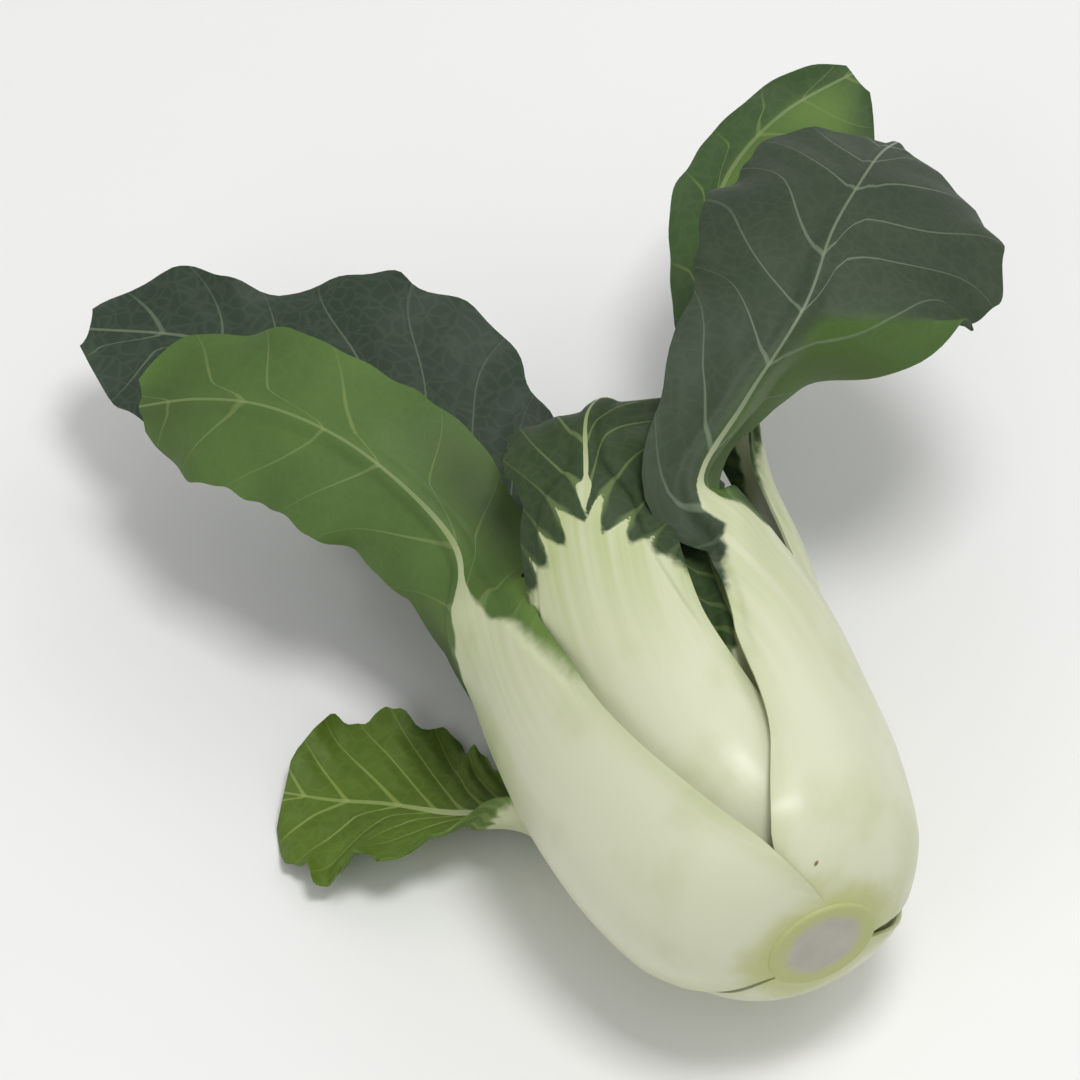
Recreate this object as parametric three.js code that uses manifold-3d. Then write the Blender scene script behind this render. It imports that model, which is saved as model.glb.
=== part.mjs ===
// A head of white-stemmed bok choy, lying on its side: a cut stem base, nine leaves that wrap round it,
// and two heart leaves. Each leaf is two solids: its white stalk, which runs on as the midrib, and its
// green blade.
// Millimetres, +Z up. The head's axis runs along +Y, from the cut end to the leaf tips.
import * as THREE from 'three';
import Module from 'manifold-3d';
import { mergeVertices } from 'three/addons/utils/BufferGeometryUtils.js';

const wasm = await Module();
wasm.setup();

// Driving dimensions
const AXIS_HEIGHT = 36;         // the middle of the cut end above the surface
const REST_Y = 58;              // the flat spot that the head lies on, from the cut end
const CUT_RADIUS = 9.6;         // the cut face of the stem
const BLADE_THICKNESS = 0.8;
const STALK_EDGE = 1.5;         // thickness of a stalk at its two margins
const CLEARANCE = 0.35;         // gap between neighbouring solids
const TOUCH = 1e-3;             // a shared volume that counts as an overlap, cubic millimetres
const BLADE_LIFT = 1;           // the blade's middle surface above the midrib's back
const WING_START = 0.14;        // the blade's wings run down this share of the stalk from its top
const WING_INNER = 0.9;         // share of the half width where a wing starts, out from the midrib
const WING_GAP = 0.6;           // between a wing and the stalk beside it
const BLADE_END = 0.985;
const WING_STEP = 0.005;        // the search for a wing's start goes up the spine by this share
const WAVE_OFFSET = 0.37;       // of a wave, between the two margins of a blade
const WAVE_GROWTH = 0.35;       // share of the blade over which its waves grow to their full height
const HEAD_AXIS = new THREE.Vector3(0, 1, 0);
const TURN_START = 0.1;         // shares of the stalk between which its sections turn from
const TURN_END = 0.5;           // square to the head's axis to square to the leaf's own spine
const FACING_START = 0.85;      // share of the stalk where the leaf starts to turn its face
const CUP_START = 0.8;          // shares of the stalk between which its round back
const CUP_END = 1.1;            // gives way to the cup of the blade
const STALK_ROWS = 9;
const ROW_SPREAD = 1.35;        // above 1, the rows of a stalk crowd towards its foot
const FOOT_SPREAD = 1.1;        // radians either side that a foot wraps round the stem
const FOOT_THICKNESS = 2.5;
const STALK_COLUMNS = 8;
const MARGIN_PROUD = 0.35;      // how proud a midrib's margins stand, as a share of its middle
const MARGIN_THICKNESS = 0.6;   // thickness right at a stalk's margins, as a share of STALK_EDGE
const LEAST_STALK = 0.7;        // a stalk that lies on the surface keeps this thickness
const GROWN_DEPTH = 1;          // a cutter reaches this far below the surface
const MIDRIB_HALF = 2.4;        // half width of the midrib just past the stalk
const BLADE_ROWS = 11;
const BLADE_COLUMNS = 10;
const JOIN = 0.015;             // share of the spine between the stalk's top and the blade's first row

const STALK_COLOUR = 0xcfd4b6;
const BLADE_COLOUR = 0x3f5a35;
const CUT_COLOUR = 0xb4b393;
const STALK_ROUGHNESS = 0.35;
const BLADE_ROUGHNESS = 0.6;
const CUT_ROUGHNESS = 0.5;

// A point at an angle round the head's axis (0 is +X, 90 is up), a radius and a distance from the cut end.
function around(degrees, radius, y) {
  const a = THREE.MathUtils.degToRad(degrees);
  return [radius * Math.cos(a), y, radius * Math.sin(a)];
}

// The leaves, from the outermost to the innermost.
// spine: the outer middle line, from the stem base to the tip, from the middle of the cut end
// stalk: the share of the spine that is stalk; wide, thick: its largest half width and thickness
// low, neck: its half width near the base and at its top, as shares of wide
// round: radius of the stalk's round back, seen along the head's axis
// facing: [share of the spine, direction that the leaf's inner face looks in], beyond the stalk
// left, right: [share of the blade, half width]; cup: [share of the blade, curvature across, 1/mm]
// wave: height and number of the waves along each margin, and where they start
const LEAVES = [
  {
    name: '1', stalk: 0.51, wide: 24, thick: 6.5, round: 31, low: 0.95, neck: 0.34,
    spine: [around(147, 10.3, 0.3), around(154, 19.8, 3.5), around(159, 27.9, 11), around(163, 35, 27),
      around(165, 37.8, 48), around(165, 36.5, 70), around(161, 33, 90), [-27, 105, 12], [-37, 126, 21],
      [-48, 143, 21], [-58, 156, 15], [-69, 168, 5]],
    facing: [[0.62, [0.5, 0.05, -0.85]], [0.8, [0.4, 0.1, -0.9]], [1, [0.45, 0.3, -0.8]]],
    left: [[0, 12], [0.18, 15], [0.5, 18], [0.8, 16], [0.94, 11], [1, 4]],
    right: [[0, 13], [0.18, 17], [0.45, 19], [0.8, 16], [0.94, 10], [1, 4]],
    cup: [[0, 0.034], [0.3, 0.034], [0.7, 0.026], [1, 0.015]], wave: [1.3, 3, 0.4],
  },
  {
    name: '2', stalk: 0.435, wide: 21.5, thick: 6.5, round: 26, low: 1.12, neck: 0.22,
    spine: [around(50, 10.3, 0.3), around(49, 18, 3.5), around(47, 25, 11), around(45, 30, 25),
      around(46, 32.6, 41), around(52, 34.8, 56), around(63, 36.6, 71), [12, 82, 35.5], [26, 91.5, 43.5],
      [43, 103, 50], [55, 115, 53], [67, 127, 50], [77, 138, 43], [86, 147, 34]],
    facing: [[0.48, [-0.3, 0.8, -0.5]], [0.59, [-0.15, 0.7, -0.7]], [0.7, [-0.05, 0.1, -1]],
      [1, [-0.3, -0.2, -0.9]]],
    left: [[0, 9], [0.15, 10], [0.28, 16], [0.38, 24], [0.48, 31], [0.58, 35], [0.68, 35], [0.85, 27],
      [0.95, 14], [1, 5]],
    right: [[0, 9], [0.12, 13], [0.32, 20], [0.6, 27], [0.85, 22], [0.95, 12], [1, 5]],
    cup: [[0, 0.06], [0.2, 0.04], [0.4, 0.022], [1, 0.018]], wave: [1.3, 3, 0.1],
  },
  {
    name: '3', stalk: 0.5, wide: 25, thick: 6.5, round: 30, low: 1.02, neck: 0.38,
    spine: [around(276, 10.3, 0.3), around(274, 18.8, 3.5), around(272, 26, 11), around(269, 32.8, 25),
      around(267, 37.8, 42), around(268, 37.6, 60), around(268, 35.4, 82), [-2, 104, -34.2],
      [-2, 128, -33.8], [-3, 150, -34.6], [-5, 170, -35], [-8, 187, -33.6]],
    facing: [[0.62, [0, 0, 1]], [1, [0, 0.1, 1]]],
    left: [[0, 12], [0.2, 18], [0.5, 24], [0.8, 21], [0.94, 12], [1, 4]],
    right: [[0, 12], [0.2, 18], [0.5, 24], [0.8, 20], [0.94, 12], [1, 4]],
    cup: [[0, 0.03], [0.4, 0.02], [1, 0.012]], wave: [1.5, 3, 0.7],
  },
  {
    name: '4', stalk: 0.66, wide: 20, thick: 5.5, round: 23, low: 0.95, neck: 0.45,
    spine: [around(112, 11, 5.5), around(116, 19.5, 13), around(119, 27, 26), around(120, 31, 44),
      around(117, 34, 62), around(109, 36, 79), [-6, 92, 37], [-1, 103, 37.5], [5, 110, 33],
      [9, 114, 26], [12, 117, 17]],
    facing: [[0.75, [0.1, 0.05, -1]], [0.88, [0, -0.7, -0.8]], [1, [-0.1, -1, -0.3]]],
    left: [[0, 16], [0.2, 17], [0.5, 18], [0.8, 16], [0.94, 11], [1, 5]],
    right: [[0, 13], [0.2, 16], [0.5, 18], [0.8, 16], [0.94, 11], [1, 5]],
    cup: [[0, 0.035], [0.4, 0.03], [1, 0.02]], wave: [1, 3, 0.2],
  },
  {
    name: '5', stalk: 0.54, wide: 21, thick: 5.5, round: 24, low: 0.95, neck: 0.36,
    spine: [around(-24, 10.6, 2), around(-23, 19.4, 6), around(-22, 26, 15), around(-19, 30, 37),
      around(-12, 32.4, 62), around(-2, 36, 82), [37, 102, 5], [38, 123, 10], [45, 147, 13],
      [59, 168, 13], [78, 182, 11], [99, 189, 9]],
    facing: [[0.6, [-0.8, 0.1, 0.6]], [0.75, [-0.45, -0.1, 0.9]], [1, [-0.3, -0.5, 0.8]]],
    left: [[0, 8], [0.15, 7], [0.5, 9], [0.72, 8], [0.9, 5], [1, 2]],
    right: [[0, 8], [0.15, 14], [0.5, 34], [0.75, 31], [0.92, 15], [1, 3]],
    cup: [[0, 0.04], [0.4, 0.02], [1, 0.012]], wave: [1.5, 3, 0.3],
  },
  {
    name: '6', stalk: 0.61, wide: 20, thick: 5.5, round: 24, low: 0.95, neck: 0.36,
    spine: [around(204, 11, 5.5), around(206, 19.5, 13), around(210, 27.5, 25), around(214, 32.5, 39),
      around(216, 36.5, 53), around(216, 41.5, 66), [-43, 76, -29.5], [-51, 84, -32], [-60, 91, -34],
      [-69, 97, -33.5]],
    facing: [[0.68, [0.3, 0.1, 1]], [1, [-0.1, 0, 1]]],
    left: [[0, 11], [0.2, 16], [0.5, 22], [0.8, 19], [0.94, 12], [1, 4]],
    right: [[0, 11], [0.2, 16], [0.5, 22], [0.8, 19], [0.94, 12], [1, 4]],
    cup: [[0, 0.03], [0.4, 0.012], [1, 0.006]], wave: [2, 3, 0.5],
  },
  {
    name: '7', stalk: 0.3, wide: 15, thick: 4, round: 18, low: 0.95, neck: 0.4,
    spine: [around(62, 9, 9), around(66, 14.5, 17), around(70, 21, 30), around(72, 26, 46),
      around(72, 28, 62), around(66, 28, 80), [17, 97, 15], [23, 112, 5], [29, 126, -7], [33, 138, -18]],
    facing: [[0.5, [-0.35, 0, -0.9]], [0.65, [-0.6, 0.1, -0.8]], [1, [-0.5, -0.4, -0.8]]],
    left: [[0, 13], [0.3, 16], [0.6, 14], [0.85, 10], [1, 3]],
    right: [[0, 13], [0.3, 15], [0.6, 12], [0.85, 9], [1, 3]],
    cup: [[0, 0.055], [0.5, 0.05], [1, 0.03]], wave: [0.7, 3, 0.2],
  },
  {
    name: '8', stalk: 0.55, wide: 13, thick: 4.5, round: 15, low: 0.95, neck: 0.36,
    spine: [around(288, 9, 9), around(288, 14, 17), around(288, 19.5, 30), around(287, 23, 46),
      around(286, 24, 62), around(285, 23, 80), [6, 98, -19], [6, 115, -19], [5, 132, -21], [3, 147, -25]],
    facing: [[0.65, [0, 0.1, 1]], [1, [0, -0.2, 1]]],
    left: [[0, 8], [0.3, 13], [0.6, 15], [0.85, 11], [1, 3]],
    right: [[0, 8], [0.3, 13], [0.6, 15], [0.85, 11], [1, 3]],
    cup: [[0, 0.06], [0.5, 0.035], [1, 0.02]], wave: [0.7, 3, 0.6],
  },
  {
    name: '9', stalk: 0.42, wide: 13, thick: 4.5, round: 15, low: 0.95, neck: 0.36,
    spine: [around(170, 9, 9), around(168, 14, 17), around(166, 19.5, 30), around(164, 23, 46),
      around(160, 24, 62), around(152, 23, 80), [-16, 99, 5], [-17, 120, 3], [-23, 143, 4.5],
      [-35, 165, 4], [-50, 186, -2], [-67, 202, -8]],
    facing: [[0.5, [0.6, 0, 0.8]], [0.7, [0.2, -0.3, 1]], [1, [0.1, -0.5, 0.9]]],
    left: [[0, 9], [0.2, 13], [0.5, 20], [0.8, 20], [0.94, 12], [1, 4]],
    right: [[0, 9], [0.15, 20], [0.35, 29], [0.54, 29], [0.73, 14], [0.86, 14], [0.95, 9], [1, 4]],
    cup: [[0, 0.06], [0.3, 0.02], [0.6, 0.008], [1, 0.006]], wave: [2.2, 4, 0.1],
  },
  {
    name: '10', stalk: 0.55, wide: 7, thick: 2.8, round: 8, low: 0.95, neck: 0.4,
    spine: [around(190, 6, 13), around(190, 9, 24), around(190, 10.5, 40), around(185, 9.5, 58),
      [-6, 74, 1], [-3, 88, 2], [0, 100, 1]],
    facing: [[0.65, [1, 0, 0.1]], [1, [0.9, -0.4, 0.3]]],
    left: [[0, 4], [0.3, 7], [0.6, 8], [0.85, 6], [1, 2]],
    right: [[0, 4], [0.3, 7], [0.6, 8], [0.85, 6], [1, 2]],
    cup: [[0, 0.12], [0.5, 0.09], [1, 0.06]], wave: [0.4, 3, 0.2],
  },
  {
    name: '11', stalk: 0.55, wide: 6, thick: 2.5, round: 7, low: 0.95, neck: 0.4,
    spine: [around(10, 5.5, 14), around(10, 8, 24), around(10, 9, 38), around(12, 8.5, 54),
      [6, 70, 2], [6, 84, 2], [5, 96, -1]],
    facing: [[0.65, [-1, 0, -0.1]], [1, [-0.9, -0.3, 0.2]]],
    left: [[0, 3.5], [0.3, 6], [0.6, 7], [0.85, 5], [1, 2]],
    right: [[0, 3.5], [0.3, 6], [0.6, 7], [0.85, 5], [1, 2]],
    cup: [[0, 0.13], [0.5, 0.1], [1, 0.07]], wave: [0.4, 3, 0.5],
  },
];

// The stem base: a short cone of solid stem, cut flat. Its steps are the rings that the leaves grow from.
// [radius, distance from the cut end]
const BASE_PROFILE = [[0, 0], [CUT_RADIUS, 0], [CUT_RADIUS, 1.2], [8.6, 3], [8.1, 5], [8, 8], [6.1, 9],
  [6, 12], [3.2, 13.5], [0, 16]];
const BASE_SIDES = 24;

// A smooth line through [place, value] stations.
function station(stations, t) {
  let k = 1;
  while (k < stations.length - 1 && t > stations[k][0]) k += 1;
  const [t0, a] = stations[k - 1];
  const [t1, b] = stations[k];
  const s = THREE.MathUtils.smoothstep(t, t0, t1);
  return a + (b - a) * s;
}

// The place of a leaf at share u of its spine, and its directions. Its sections lie square to the head's
// axis at its foot, and square to its own spine further up. level and slant place the leaf's normal.
function leafFrame(leaf, u) {
  const point = leaf.curve.getPointAt(u);
  const along = leaf.curve.getTangentAt(u);
  const turned = THREE.MathUtils.smoothstep(u, leaf.stalk * TURN_START, leaf.stalk * TURN_END);
  const axis = HEAD_AXIS.clone().lerp(along, turned).normalize();
  const stalkFacing = new THREE.Vector3(-point.x, 0, -point.z).normalize();
  const inner = new THREE.Vector3().copy(stalkFacing);
  let previous = [leaf.stalk * FACING_START, stalkFacing.toArray()];
  for (const next of leaf.facing) {
    if (u > previous[0]) {
      const share = THREE.MathUtils.smoothstep(u, previous[0], next[0]);
      inner.fromArray(previous[1]).lerp(new THREE.Vector3().fromArray(next[1]).normalize(), share);
    }
    previous = next;
  }
  inner.addScaledVector(axis, -inner.dot(axis)).normalize();
  const across = new THREE.Vector3().crossVectors(axis, inner);
  const normal = inner.clone().addScaledVector(along, -inner.dot(along)).normalize();
  return { point, axis, inner, across, level: normal.dot(inner), slant: normal.dot(axis) };
}

// Curvature across the leaf at share u: the stalk's round back, then the blade's cup.
function curvature(leaf, u) {
  const blade = Math.max(0, (u - leaf.stalk) / (1 - leaf.stalk));
  const join = THREE.MathUtils.smoothstep(u, leaf.stalk * CUP_START, leaf.stalk * CUP_END);
  const point = leaf.curve.getPointAt(u);
  const radius = Math.min(leaf.round, Math.hypot(point.x, point.z));
  return THREE.MathUtils.lerp(1 / radius, station(leaf.cup, blade), join);
}

// A point of the leaf's outer face, at distance x across, lifted by height towards its inner face.
function leafPoint(leaf, u, x, height) {
  const { point, axis, inner, across, level, slant } = leafFrame(leaf, u);
  const bend = curvature(leaf, u);
  const angle = bend * x;
  return point.clone()
    .addScaledVector(across, Math.sin(angle) / bend - height * level * Math.sin(angle))
    .addScaledVector(inner, (1 - Math.cos(angle)) / bend + height * level * Math.cos(angle))
    .addScaledVector(axis, height * slant);
}

// Half width of the stalk, which narrows to the midrib in the blade.
function stalkHalf(leaf, u) {
  const w = leaf.wide;
  const k = leaf.stalk;
  return station([[0, leaf.foot * FOOT_SPREAD], [k * 0.1, w * leaf.low * 0.8], [k * 0.2, w * leaf.low],
    [k * 0.42, w], [k * 0.7, w * 0.86], [k * 0.9, w * (0.3 + 0.65 * leaf.neck)], [k, w * leaf.neck],
    [k + 0.06, MIDRIB_HALF], [k + 0.25, 1.5], [1, 0.8]], u);
}

// Half width of the blade. Its wings stand out beside the top of the stalk.
function bladeHalf(leaf, u, side) {
  const k = leaf.stalk;
  const wing = (stalkHalf(leaf, u) + WING_GAP) / WING_INNER;
  if (u < k) return wing;
  const half = station(side < 0 ? leaf.left : leaf.right, (u - k) / (1 - k));
  return Math.max(half, wing);
}

function stalkThickness(leaf, u) {
  const k = leaf.stalk;
  const t = leaf.thick;
  return station([[0, FOOT_THICKNESS], [k * 0.2, t], [k * 0.7, t * 0.85], [k * 0.93, t * 0.45], [k, 1.6],
    [k + 0.07, 1.2], [1, 0.8]], u);
}

// How far the midrib stands proud of the blade's outer face.
function midribProud(leaf, u) {
  const k = leaf.stalk;
  return station([[0, 0], [k * 0.85, 0], [k, 1.6], [k + 0.07, 1.5], [1, 0.9]], u);
}

// Nothing reaches below the surface.
function settle(p, least) {
  const z = p.z + AXIS_HEIGHT;
  return new THREE.Vector3(p.x, p.y - REST_Y, Math.max(z, least));
}

// A closed solid from two grids of points, one on each face, split alike.
function shell(outer, inner) {
  const rows = outer.length;
  const columns = outer[0].length;
  const positions = [];
  for (const grid of [outer, inner]) {
    for (const row of grid) {
      for (const p of row) positions.push(p.x, p.y, p.z);
    }
  }
  const half = rows * columns;
  const index = [];
  const quad = (a, b, c, d) => index.push(a, b, c, a, c, d);
  for (let i = 0; i < rows - 1; i += 1) {
    for (let j = 0; j < columns - 1; j += 1) {
      const a = i * columns + j;
      const b = a + 1;
      const c = b + columns;
      const d = a + columns;
      index.push(a, c, b, a, d, c);
      index.push(a + half, b + half, c + half, a + half, c + half, d + half);
    }
  }
  for (let i = 0; i < rows - 1; i += 1) {
    const a = i * columns;
    quad(a, a + half, a + columns + half, a + columns);
    const b = a + columns - 1;
    quad(b, b + columns, b + columns + half, b + half);
  }
  for (let j = 0; j < columns - 1; j += 1) {
    quad(j, j + 1, j + 1 + half, j + half);
    const a = (rows - 1) * columns + j;
    quad(a, a + half, a + 1 + half, a + 1);
  }
  return new wasm.Manifold(new wasm.Mesh({
    numProp: 3,
    vertProperties: new Float32Array(positions),
    triVerts: new Uint32Array(index),
  }));
}

// The rows of a stalk: down the stalk, then along the midrib in step with the blade's own rows.
function stalkRows(leaf) {
  const rows = [];
  for (let i = 0; i < STALK_ROWS; i += 1) rows.push(leaf.stalk * (i / STALK_ROWS) ** ROW_SPREAD);
  for (let i = 0; i < BLADE_ROWS; i += 1) {
    rows.push(THREE.MathUtils.lerp(leaf.stalk + JOIN, BLADE_END, i / BLADE_ROWS));
  }
  return rows;
}

// The white stalk with its midrib. grow makes it larger all round, for cutting its neighbours clear.
function stalkSolid(leaf, grow = 0) {
  const outer = [];
  const inner = [];
  for (const u of stalkRows(leaf)) {
    const half = stalkHalf(leaf, u) + grow;
    const thick = stalkThickness(leaf, u);
    const low = -midribProud(leaf, u);
    const edge = Math.min(STALK_EDGE, thick);
    const outerRow = [];
    const innerRow = [];
    for (let j = 0; j <= STALK_COLUMNS; j += 1) {
      const turn = (j / STALK_COLUMNS - 0.5) * Math.PI;
      const crown = Math.cos(turn) ** 2;
      const x = half * Math.sin(turn);
      const under = low * THREE.MathUtils.lerp(MARGIN_PROUD, 1, crown);
      const over = under + THREE.MathUtils.lerp(edge * MARGIN_THICKNESS, thick, crown);
      const top = u > leaf.stalk ? Math.min(over, 0) : over;
      outerRow.push(settle(leafPoint(leaf, u, x, under - grow), grow ? -GROWN_DEPTH : 0));
      innerRow.push(settle(leafPoint(leaf, u, x, top + grow), LEAST_STALK));
    }
    outer.push(outerRow);
    inner.push(innerRow);
  }
  return shell(outer, inner);
}

// The blade's face: a waved sheet whose start is notched round the stalk.
function bladeFace(leaf, s, v) {
  const k = leaf.stalk;
  let start = k * (1 - WING_START);
  const clear = (u) => Math.abs(v) * bladeHalf(leaf, u, v) >= stalkHalf(leaf, u) + WING_GAP;
  while (start < k && !clear(start)) start += WING_STEP;
  const u = THREE.MathUtils.lerp(start + JOIN, BLADE_END, s);
  const x = v * bladeHalf(leaf, u, v);
  const [height, count, phase] = leaf.wave;
  const blade = Math.max(0, (u - k) / (1 - k));
  const rise = THREE.MathUtils.smoothstep(blade, 0, WAVE_GROWTH) * v * v;
  const turn = 2 * Math.PI * (count * blade + phase + (v < 0 ? WAVE_OFFSET : 0));
  return leafPoint(leaf, u, x, BLADE_LIFT + height * rise * Math.sin(turn));
}

function bladeSolid(leaf, grow = 0) {
  const middle = [];
  for (let i = 0; i <= BLADE_ROWS; i += 1) {
    middle.push([]);
    for (let j = 0; j <= BLADE_COLUMNS; j += 1) {
      const v = (2 * j) / BLADE_COLUMNS - 1;
      middle[i].push(settle(bladeFace(leaf, i / BLADE_ROWS, v), BLADE_THICKNESS / 2));
    }
  }
  const outer = [];
  const inner = [];
  const half = BLADE_THICKNESS / 2 + grow;
  for (let i = 0; i <= BLADE_ROWS; i += 1) {
    outer.push([]);
    inner.push([]);
    for (let j = 0; j <= BLADE_COLUMNS; j += 1) {
      const p = middle[i][j];
      const before = middle[Math.max(i - 1, 0)][j];
      const du = new THREE.Vector3().subVectors(middle[Math.min(i + 1, BLADE_ROWS)][j], before);
      const beside = middle[i][Math.max(j - 1, 0)];
      const dv = new THREE.Vector3().subVectors(middle[i][Math.min(j + 1, BLADE_COLUMNS)], beside);
      const n = new THREE.Vector3().crossVectors(dv, du).normalize().multiplyScalar(half);
      outer[i].push(p.clone().sub(n));
      inner[i].push(p.clone().add(n));
      if (!grow) outer[i][j].z = Math.max(outer[i][j].z, 0);
    }
  }
  return shell(outer, inner);
}

// The largest body of a solid, which drops the scraps that a cut leaves.
function largest(solid) {
  const bodies = solid.decompose();
  bodies.sort((a, b) => b.volume() - a.volume());
  return bodies[0];
}

function baseSolid() {
  const profile = BASE_PROFILE.map(([r, y]) => new THREE.Vector2(r, y));
  const lathe = new THREE.LatheGeometry(profile, BASE_SIDES);
  lathe.deleteAttribute('normal');
  lathe.deleteAttribute('uv');
  const closed = mergeVertices(lathe).translate(0, -REST_Y, AXIS_HEIGHT);
  return new wasm.Manifold(new wasm.Mesh({
    numProp: 3,
    vertProperties: new Float32Array(closed.attributes.position.array),
    triVerts: new Uint32Array(closed.index.array),
  }));
}

function toMesh(name, solid, colour, roughness) {
  const { numProp, vertProperties, triVerts } = solid.getMesh();
  const geometry = new THREE.BufferGeometry();
  const positions = new Float32Array((vertProperties.length / numProp) * 3);
  for (let i = 0; i < positions.length / 3; i += 1) {
    for (let c = 0; c < 3; c += 1) positions[3 * i + c] = vertProperties[numProp * i + c];
  }
  geometry.setAttribute('position', new THREE.BufferAttribute(positions, 3));
  geometry.setIndex(new THREE.BufferAttribute(new Uint32Array(triVerts), 1));
  geometry.computeVertexNormals();
  const mesh = new THREE.Mesh(geometry, new THREE.MeshStandardMaterial({ color: colour, roughness }));
  mesh.name = name;
  return mesh;
}

const group = new THREE.Group();

// Each solid is cut clear of the ones placed before it: the stalks come first, then the base, then the
// blades. A leaf's own blade is only cut where it would run into its stalk.
const placed = [];
function fit(name, leafName, solid, grown, colour, roughness) {
  let clear = solid;
  for (const other of placed) {
    const cutter = leafName === other.leafName ? other.solid : other.grown;
    if (clear.intersect(cutter).volume() > TOUCH) {
      clear = largest(clear.subtract(other.grown).subtract(other.solid));
    }
  }
  placed.push({ leafName, solid: clear, grown });
  group.add(toMesh(name, clear, colour, roughness));
}

for (const leaf of LEAVES) {
  const points = leaf.spine.map((p) => new THREE.Vector3(...p));
  leaf.curve = new THREE.CatmullRomCurve3(points, false, 'centripetal');
  leaf.curve.arcLengthDivisions = 400;
  leaf.foot = Math.hypot(leaf.spine[0][0], leaf.spine[0][2]);
  const grown = stalkSolid(leaf, CLEARANCE);
  fit(`stalk_${leaf.name}`, leaf.name, stalkSolid(leaf), grown, STALK_COLOUR, STALK_ROUGHNESS);
}
const base = baseSolid();
fit('stem_base', 'base', base, base, CUT_COLOUR, CUT_ROUGHNESS);
for (const leaf of LEAVES) {
  const grown = bladeSolid(leaf, CLEARANCE);
  fit(`blade_${leaf.name}`, leaf.name, bladeSolid(leaf), grown, BLADE_COLOUR, BLADE_ROUGHNESS);
}

export default group;
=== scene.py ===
"""A head of white-stemmed bok choy, cut and laid on its side on a pale surface.

Each leaf is one piece of tissue: a thick white stalk that runs on as the midrib of a thin green blade.
Lengths are millimetres from the middle of the cut end, with Y along the head, until a mesh is finished.
The table, the lamps and the camera are in metres.
"""
import math

import bpy
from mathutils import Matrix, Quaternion, Vector


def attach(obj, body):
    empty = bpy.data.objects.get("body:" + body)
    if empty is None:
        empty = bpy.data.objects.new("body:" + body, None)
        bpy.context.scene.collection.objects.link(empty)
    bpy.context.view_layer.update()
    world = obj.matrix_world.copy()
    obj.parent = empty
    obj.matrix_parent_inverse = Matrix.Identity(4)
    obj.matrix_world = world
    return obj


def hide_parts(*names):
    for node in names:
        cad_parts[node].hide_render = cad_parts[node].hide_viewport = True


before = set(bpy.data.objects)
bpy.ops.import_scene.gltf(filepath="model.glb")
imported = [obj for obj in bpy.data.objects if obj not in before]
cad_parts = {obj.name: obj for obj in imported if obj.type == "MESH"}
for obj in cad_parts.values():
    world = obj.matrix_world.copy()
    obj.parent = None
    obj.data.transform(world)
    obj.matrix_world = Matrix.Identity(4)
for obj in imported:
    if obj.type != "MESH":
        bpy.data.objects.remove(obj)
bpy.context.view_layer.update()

# The studio: a pale table, a soft bright surround and three soft lamps, with the camera looking down on the
# head from the side of its cut end.
TABLE_SIZE = 12.0
TABLE_PALE = (0.9, 0.9, 0.89, 1)
TABLE_SHADE = (0.87, 0.87, 0.86, 1)
SURROUND_STRENGTH = 0.5
HEAD_MIDDLE = Vector((0, 0.03, 0.03))   # what the lamps point at
LAMPS = {                               # place, size across, watts
    "lamp_above": ((0.1, -0.15, 1.1), 0.32, 5.5),
    "lamp_left": ((-0.9, -0.5, 0.75), 0.6, 1.5),
    "lamp_right": ((0.8, 0.3, 0.8), 0.6, 1.5),
}
CAMERA_AZIMUTH = math.radians(-24)
CAMERA_ELEVATION = math.radians(50)
CAMERA_DISTANCE = 1.25
CAMERA_REACH = 30
VIEW_WIDTH = 0.205                      # how wide the view is at the head
VIEW_CENTRE = Vector((-0.011, 0.044, 0.045))


def deselect():
    bpy.ops.object.select_all(action="DESELECT")


def add_node(material, kind, inputs=None, **settings):
    """A node of a material or of a node group. Each input is a value, or the socket that feeds it."""
    tree = getattr(material, "node_tree", material)
    node = tree.nodes.new(kind)
    for key, value in settings.items():
        setattr(node, key, value)
    for key, value in (inputs or {}).items():
        if isinstance(value, bpy.types.NodeSocket):
            tree.links.new(value, node.inputs[key])
        else:
            node.inputs[key].default_value = value
    return node


def mix(material, factor, a, b, blend="MIX"):
    node = add_node(material, "ShaderNodeMix", {0: factor, 6: a, 7: b}, data_type="RGBA", blend_type=blend)
    return node.outputs[2]


def new_material(name):
    """A material with an empty node tree."""
    material = bpy.data.materials.new(name)
    material.use_nodes = True
    material.node_tree.nodes.clear()
    return material


def finish_material(material, **finish):
    """Gives a material its shader, whose inputs are named with _ for a space."""
    inputs = {label.replace("_", " "): value for label, value in finish.items()}
    shader = add_node(material, "ShaderNodeBsdfPrincipled", inputs)
    add_node(material, "ShaderNodeOutputMaterial", {"Surface": shader.outputs[0]})


deselect()
bpy.ops.mesh.primitive_plane_add(size=TABLE_SIZE, location=(0, 0, 0))
table = bpy.context.object
table.name = "table"
table_paint = new_material("table_paint")
table_grain = add_node(table_paint, "ShaderNodeTexNoise", {"Scale": 90.0, "Detail": 3.0})
finish_material(table_paint, Roughness=0.75,
                Base_Color=mix(table_paint, table_grain.outputs["Fac"], TABLE_PALE, TABLE_SHADE))
table.data.materials.append(table_paint)

world = bpy.data.worlds.new("surround")
world.use_nodes = True
world.node_tree.nodes["Background"].inputs["Color"].default_value = (1, 1, 1, 1)
world.node_tree.nodes["Background"].inputs["Strength"].default_value = SURROUND_STRENGTH
bpy.context.scene.world = world

for name, (place, size, watts) in LAMPS.items():
    deselect()
    bpy.ops.object.light_add(type="AREA", location=place)
    lamp = bpy.context.object
    lamp.name = name
    lamp.data.size = size
    lamp.data.energy = watts
    lamp.rotation_euler = (HEAD_MIDDLE - Vector(place)).to_track_quat("-Z", "Y").to_euler()

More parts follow.
